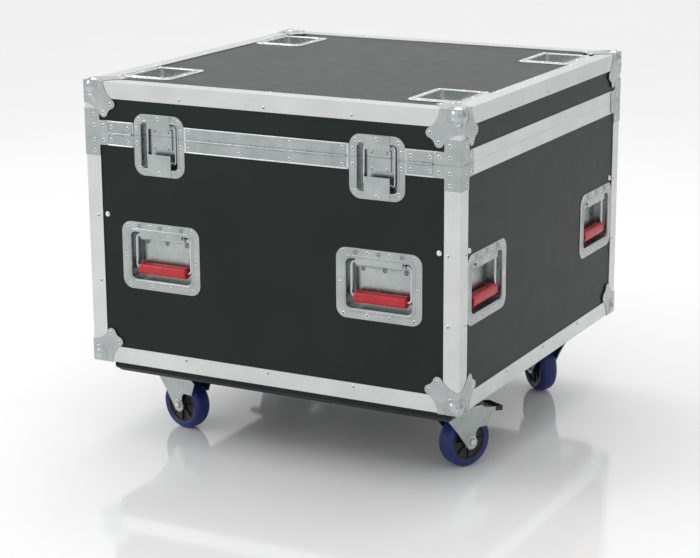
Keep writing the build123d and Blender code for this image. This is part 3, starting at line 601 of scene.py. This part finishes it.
for number in range(1, len(HANDLES) + 1):
    refined(f"handle_bail_{number}", [CHROME])
for number in range(1, len(CASTERS) + 1):
    refined(f"caster_fork_{number}", [ZINC], 0.7, 3)


# ---------------------------------------------------------------- pressed details of the body and lid
def handle_dish_beads():
    """Raised beads round the openings of the handle dishes."""
    bm = bmesh.new()
    for place in HANDLES:
        bead(bm, place, rounded_rect(HANDLE_BEAD_W, HANDLE_BEAD_H, 13), True, half_round(2.6, 1.3), SHEET)
    finished("handle_dish_beads", bm, "base", [ZINC], angle=60)


def cup_rims():
    """Raised rims of the stacking cups."""
    bm = bmesh.new()
    for x in (-CASTER_X, CASTER_X):
        for y in (-CASTER_Y, CASTER_Y):
            place = axes_matrix(EAST, NORTH, UP, (x, y, TOP_Z - SKIN))
            bead(bm, place, rounded_rect(CUP_RIM_X, CUP_RIM_Y, 9.6), True, half_round(1.4, 1.5), SHEET)
    finished("stacking_cup_rims", bm, "lid", [CUP], angle=60)


def split_dish_beads(name, places):
    """Beads of dishes that the split cuts through, one part on each body."""
    whole = rounded_rect(SPLIT_BEAD_W, SPLIT_BEAD_H, 10, centre=(0, SPLIT_BEAD_MIDDLE))
    above = SPLIT_V + SPLIT_BEAD_GAP
    below = SPLIT_V - SPLIT_BEAD_GAP
    upper = [p for p in whole if p.y > above]
    lower = [p for p in whole if p.y < below]
    cut = lower.index(max(lower, key=lambda p: (p.x < 0, p.y)))
    lower = lower[cut:] + lower[:cut]
    half = SPLIT_BEAD_W / 2
    upper_path = [Vector((half, above))] + upper + [Vector((-half, above))]
    lower_path = [Vector((-half, below))] + lower + [Vector((half, below))]
    for part, body, path in (("upper", "lid", upper_path), ("lower", "base", lower_path)):
        bm = bmesh.new()
        for place in places:
            bead(bm, place, path, False, half_round(1.9, 1.2), SHEET)
        finished(f"{name}_dish_bead_{part}", bm, body, [ZINC], angle=60)


def ball_rings(body, height, down, on_top):
    """Raised rings round the balls of the corners. Down points from the corner's tip into the body."""
    path = []
    for degrees in range(-40, 131, 10):
        t = math.radians(degrees)
        path.append(Vector((BALL_IN + RING_R * math.cos(t), BALL_IN + RING_R * math.sin(t))))
    bm = bmesh.new()
    for sx in (-1, 1):
        for sy in (-1, 1):
            tip = (sx * HALF, sy * HALF, height)
            into_x, into_y, into_z = Vector((-sx, 0, 0)), Vector((0, -sy, 0)), Vector((0, 0, down))
            faces = [(into_y, into_z, into_x), (into_x, into_z, into_y)]
            if on_top:
                faces.append((into_x, into_y, into_z))
            for a, b, into in faces:
                bead(bm, axes_matrix(a, b, -into, tip), path, False, half_round(2.2, 1.1), SHEET)
    finished(f"{body}_ball_rings", bm, body, [FLANGE], angle=70)


def handle_dish_dimples():
    """Clinch marks above the openings and under the tabs of the handle dishes, with painted shade in
    their grooves.
    """
    bm = bmesh.new()
    for place in HANDLES:
        for step in (-1, 0, 1):
            above = Matrix.Translation((step * DIMPLE_PITCH, 57, SHEET))
            below = Matrix.Translation((step * DIMPLE_PITCH * 0.93, 23, -DISH_DEPTH))
            for spot in (place @ above, place @ below):
                turned(bm, spot, [(5.2, -0.05), (4.8, 0.7), (4.1, 0.95), (3.6, 0.7), (3.3, 0.15)], 20)
                # The groove round each button takes the second material: painted shade.
                turned(bm, spot, [(3.3, 0.15), (2.3, 0.12)], 20, slot=1)
                turned(bm, spot, [(2.3, 0.12), (1.7, 0.85), (0, 1.05)], 20)
    finished("handle_dish_dimples", bm, "base", [ZINC, SHADE], angle=50)


def handle_dish_tabs():
    """The folded tab that the bail turns in, with a slightly wavy edge and a painted shadow along under
    it.
    """
    bm = bmesh.new()
    steps = 28
    for place in HANDLES:
        columns = []
        for step in range(steps + 1):
            u = TAB_HALF * (2 * step / steps - 1)
            low = 30.5 + 0.9 * math.sin(u / 6)
            fold = [(47.5, 0.9), (45.6, 0.6), (44.6, -1.2), (43.6, -3.6), (38, -4.5)]
            lip = [(low, -4.9), (low - 0.4, -5.6), (low - 0.1, -7.2)]
            columns.append([bm.verts.new(place @ Vector((u, v, w))) for v, w in fold + lip])
        for a, b in zip(columns, columns[1:]):
            for k in range(len(a) - 1):
                face = bm.faces.new((a[k], a[k + 1], b[k + 1], b[k]))
                # The last row of faces, under the lip's edge, takes the second material: a painted shadow
                # under the tab.
                face.material_index = int(k == len(a) - 2)
    tab = finished("handle_dish_tabs", bm, "base", [ZINC, SHADE], angle=60)
    thick = tab.modifiers.new("sheet", "SOLIDIFY")
    thick.thickness = 0.3 * MM


def stay_pad_rivets(part, body, v):
    """The two rivets on a pad of each lid stay."""
    bm = bmesh.new()
    for place in STAYS:
        for u in (-PAD_RIVET_U, PAD_RIVET_U):
            spot = place @ Matrix.Translation((u, v, -PAD_DEPTH))
            turned(bm, spot, [(3.4, 0), (3.2, 0.6), (2.5, 1.1), (1.8, 1.2), (1.45, 0.9)], 20)
            # The bore takes the second material: painted shade.
            turned(bm, spot, [(1.45, 0.9), (1.35, 0.35), (0, 0.3)], 20, slot=1)
    finished(f"stay_pad_rivets_{part}", bm, body, [RIVET, HOLE_SHADE], angle=40)


def rail_lips(body, sign):
    """The bright lips of the rails, above or below the hinge leaves."""
    section = [(1.2, 2.0), (1.1, 3.5), (0.6, 3.8), (-0.6, 3.8), (-1.1, 3.5), (-1.2, 2.0)]
    bm = bmesh.new()
    for start, end in LEAF_RUNS:
        path = [Vector((start, sign * LIP_V)), Vector((end, sign * LIP_V))]
        bead(bm, wall("hinge", 0, SPLIT_Z), path, False, section, 0)
    finished(f"{body}_rail_lips", bm, body, [EXTRUSIONS[0]], angle=30)


handle_dish_beads()
cup_rims()
split_dish_beads("stay", STAYS)
split_dish_beads("latch", LATCHES)
ball_rings("lid", TOP_Z, -1, True)
ball_rings("base", BASE_Z, 1, False)
handle_dish_dimples()
handle_dish_tabs()
stay_pad_rivets("upper", "lid", 23.5)
stay_pad_rivets("lower", "base", -5.0)
rail_lips("lid", 1)
rail_lips("base", -1)


# ---------------------------------------------------------------- casters
def caster_axes(x, y, heading):
    """Trail and axle directions, and the matrix of the wheel's centre with Z along the axle."""
    h = math.radians(heading)
    trail = Vector((math.cos(h), math.sin(h), 0))
    axle = Vector((-math.sin(h), math.cos(h), 0))
    hub = axes_matrix(trail, UP, trail.cross(UP), Vector((x, y, WHEEL_R)) + trail * TRAIL)
    return trail, axle, hub


def race_covers():
    """Pressed covers over the swivel races."""
    profile = [(25.9, 117.5), (27.5, 117.6), (28.4, 118.8), (28, 120.6), (26.6, 122.6), (25.9, 123)]
    bm = bmesh.new()
    for x, y, _ in CASTERS:
        turned(bm, axes_matrix(EAST, NORTH, UP, (x, y, 0)), profile, 48, close=True)
    finished("caster_race_covers", bm, "base", [ZINC], angle=50)


def axle_washers(number, hub):
    """A washer and a domed bolt end on each side of a fork."""
    bm = bmesh.new()
    for sign in (-1, 1):
        washer = [(8.0, 23.4), (10.6, 23.4), (10.6, 24.4), (10.2, 24.8), (7.0, 24.8)]
        bolt_end = [(5.2, 27.6), (5.2, 28.6), (4.4, 29.3), (0, 29.5)]
        turned(bm, hub, [(r, sign * z) for r, z in washer], 40)
        turned(bm, hub, [(r, sign * z) for r, z in bolt_end], 24)
    finished(f"axle_washers_{number}", bm, f"caster_{number}", [RIVET], angle=35)


def pedal_cap(number, trail, axle, x, y):
    """A ribbed rubber cap on the tip of a brake pedal."""
    tip = Matrix.Translation((PEDAL_REACH, 0, PEDAL_Z)) @ Matrix.Rotation(PEDAL_SLOPE, 4, "Y")
    place = axes_matrix(trail, axle, UP, (x, y, 0)) @ tip
    bm = bmesh.new()
    bmesh.ops.create_cube(bm, size=1, matrix=place @ Matrix.Diagonal((15.5, 41.6, 9.2, 1)))
    for offset in (-4.5, 0, 4.5):
        rib = place @ Matrix.Translation((offset, 0, 4.9))
        bmesh.ops.create_cube(bm, size=1, matrix=rib @ Matrix.Diagonal((2.0, 36, 1.6, 1)))
    finished(f"pedal_cap_{number}", bm, f"brake_pedal_{number}", [CAP], angle=35, bevel_mm=0.7)


def mirrored(profile):
    """A (radius, z) outline followed by its mirror image in z."""
    return profile + [(r, -z) for r, z in profile[::-1] if z]


def tyre(number, hub):
    """Rubber tyre with a rounded tread and a groove on each side."""
    shoulder = [(36, 15.5), (38, 17.2), (41.0, 17.6), (41.6, 16.9), (42.4, 16.9), (43, 17.5)]
    tread = [(45, 16.6), (47.6, 13.6), (49.2, 10), (WHEEL_R, 5), (WHEEL_R, 0)]
    bm = bmesh.new()
    turned(bm, hub, mirrored(shoulder + tread), 72, close=True)
    name = f"tyre_moulding_{number}"
    finished(name, bm, f"wheel_{number}", [TYRE], [f"caster_tyre_{number}"], angle=35)


def rim(number, hub):
    """Black rim with a bearing hub and eight ribs on each side."""
    boss = [(5.1, 20), (11, 20), (12, 19.2), (12.4, 12)]
    web = [(14, 11.4), (30, 11.4), (32.4, 13), (33, 16), (35.9, 16.2)]
    bm = bmesh.new()
    turned(bm, hub, mirrored(boss + web), 72, close=True)
    for sign in (-1, 1):
        for k in range(RIM_RIBS):
            turn = Matrix.Rotation(2 * math.pi * k / RIM_RIBS, 4, "Z")
            rib = hub @ turn @ Matrix.Translation((22, 0, sign * 12.9))
            bmesh.ops.create_cube(bm, size=1, matrix=rib @ Matrix.Diagonal((20.5, 2.6, 4.4, 1)))
    name = f"rim_moulding_{number}"
    nodes = [f"caster_rim_{number}"]
    finished(name, bm, f"wheel_{number}", [RIM], nodes, angle=35, bevel_mm=0.4)


race_covers()
pedals = 0
for number, (x, y, heading) in enumerate(CASTERS, start=1):
    trail, axle, hub = caster_axes(x, y, heading)
    axle_washers(number, hub)
    if number in BRAKED:
        pedals += 1
        pedal_cap(pedals, trail, axle, x, y)


# ---------------------------------------------------------------- grips and wheels
def grip(number, place):
    """Red grip: slightly square, fluted along its length, with a plain collar at each end."""
    end = [(-51, 7.5), (-50.6, 9.6), (-49.5, 10.8), (-45, 11.2), (-43.6, 11.2), (-42.8, 10.5)]
    stations = end + [(s, 10.7) for s in range(-40, 41, 10)] + [(-s, r) for s, r in end[::-1]]
    middle_v = BAIL_V - BAIL_DROP
    bm = bmesh.new()
    rings = []
    for along, radius in stations:
        plain = abs(along) > COLLAR_START
        ring = []
        for k in range(GRIP_STEPS):
            t = 2 * math.pi * k / GRIP_STEPS
            square = 1 + 0.055 * math.cos(4 * t + math.pi)
            flute = 0.0 if plain else 0.42 * abs(math.cos(8 * t)) ** 0.6 - 0.25
            r = radius * square + flute
            spot = Vector((along, middle_v + r * math.cos(t), -BAIL_DEPTH + r * math.sin(t)))
            ring.append(bm.verts.new(place @ spot))
        rings.append(ring)
    for a, b in zip(rings, rings[1:]):
        for k in range(GRIP_STEPS):
            n = (k + 1) % GRIP_STEPS
            bm.faces.new((a[k], a[n], b[n], b[k]))
    bm.faces.new(rings[0])
    bm.faces.new(rings[-1])
    name = f"grip_moulding_{number}"
    finished(name, bm, f"handle_{number}", [GRIP], [f"handle_grip_{number}"], angle=30)


for number, place in enumerate(HANDLES, start=1):
    grip(number, place)
for number, (x, y, heading) in enumerate(CASTERS, start=1):
    _, _, hub = caster_axes(x, y, heading)
    tyre(number, hub)
    rim(number, hub)

# ---------------------------------------------------------------- floor
floor_mesh = bpy.data.meshes.new("floor")
corners = [(-FLOOR_HALF, -FLOOR_HALF, 0), (FLOOR_HALF, -FLOOR_HALF, 0)]
corners += [(FLOOR_HALF, FLOOR_HALF, 0), (-FLOOR_HALF, FLOOR_HALF, 0)]
floor_mesh.from_pydata(corners, [], [(0, 1, 2, 3)])
floor = bpy.data.objects.new("floor", floor_mesh)
bpy.context.scene.collection.objects.link(floor)
floor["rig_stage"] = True
pale = Shader("floor_pale", (0.93, 0.93, 0.93), 0.0, 0.08)
pale.set("Base Color", pale.tint(pale.noise(2, 2), (0.92, 0.92, 0.92), (0.94, 0.94, 0.94)))
pale.set("Roughness", pale.spread(pale.noise(3, 3), 0.06, 0.09))
pale.bsdf.inputs["IOR"].default_value = 1.6
floor_mesh.materials.append(pale.material)


# ---------------------------------------------------------------- light
def studio_world():
    """Pale surround, a little lighter overhead, that falls off to the right."""
    world = bpy.data.worlds.new("studio")
    bpy.context.scene.world = world
    world.use_nodes = True
    nodes, links = world.node_tree.nodes, world.node_tree.links
    background = nodes["Background"]
    coordinates = nodes.new("ShaderNodeTexCoord")
    axes = nodes.new("ShaderNodeSeparateXYZ")
    links.new(coordinates.outputs["Generated"], axes.inputs[0])
    raised = nodes.new("ShaderNodeMath")
    raised.operation = "MULTIPLY_ADD"
    raised.inputs[1].default_value = 0.5
    raised.inputs[2].default_value = 0.5
    links.new(axes.outputs["Z"], raised.inputs[0])
    ramp = nodes.new("ShaderNodeValToRGB")
    horizon, overhead = ramp.color_ramp.elements
    horizon.position = 0.46
    horizon.color = (0.90, 0.90, 0.90, 1)
    overhead.position = 0.80
    overhead.color = (0.97, 0.97, 0.97, 1)
    links.new(raised.outputs[0], ramp.inputs["Fac"])
    links.new(ramp.outputs["Color"], background.inputs["Color"])
    dim = nodes.new("ShaderNodeMapRange")
    dim.inputs["From Min"].default_value = 0.15
    dim.inputs["From Max"].default_value = 0.75
    dim.inputs["To Min"].default_value = 1.0
    dim.inputs["To Max"].default_value = 0.6
    links.new(axes.outputs["X"], dim.inputs["Value"])
    links.new(dim.outputs["Result"], background.inputs["Strength"])


def area(name, place, target, size, power):
    data = bpy.data.lights.new(name, "AREA")
    data.shape = "RECTANGLE"
    data.size, data.size_y = size
    data.energy = power
    light = bpy.data.objects.new(name, data)
    light.location = place
    light.rotation_euler = (Vector(target) - Vector(place)).to_track_quat("-Z", "Y").to_euler()
    bpy.context.scene.collection.objects.link(light)


studio_world()
area("key_left", (-2.8, -2.4, 2.8), (0, 0, 0.35), (1.8, 1.4), 31)
area("fill_right", (3.2, -0.8, 2.0), (0.2, 0, 0.35), (1.2, 1.6), 3)
area("top", (-0.3, 0.8, 3.2), (0, 0, 0.3), (2.6, 2.6), 30)

# ---------------------------------------------------------------- camera
forward = Vector((math.cos(PITCH) * math.sin(YAW), math.cos(PITCH) * math.cos(YAW), -math.sin(PITCH)))
level = forward.cross(UP).normalized()
upright = level.cross(forward)
right = math.cos(ROLL) * level + math.sin(ROLL) * upright
upward = math.cos(ROLL) * upright - math.sin(ROLL) * level
camera_data = bpy.data.cameras.new("camera")
camera_data.sensor_width = SENSOR_MM
camera_data.lens = LENS_MM
camera = bpy.data.objects.new("camera", camera_data)
bpy.context.scene.collection.objects.link(camera)
turn = Matrix((right, upward, -forward)).transposed().to_4x4()
camera.matrix_world = Matrix.Translation(CAMERA_AT * MM) @ turn
bpy.context.scene.camera = camera
bpy.context.scene.view_settings.view_transform = "Standard"

[[list(corner) for corner in box] for box in (cad_box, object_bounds())]
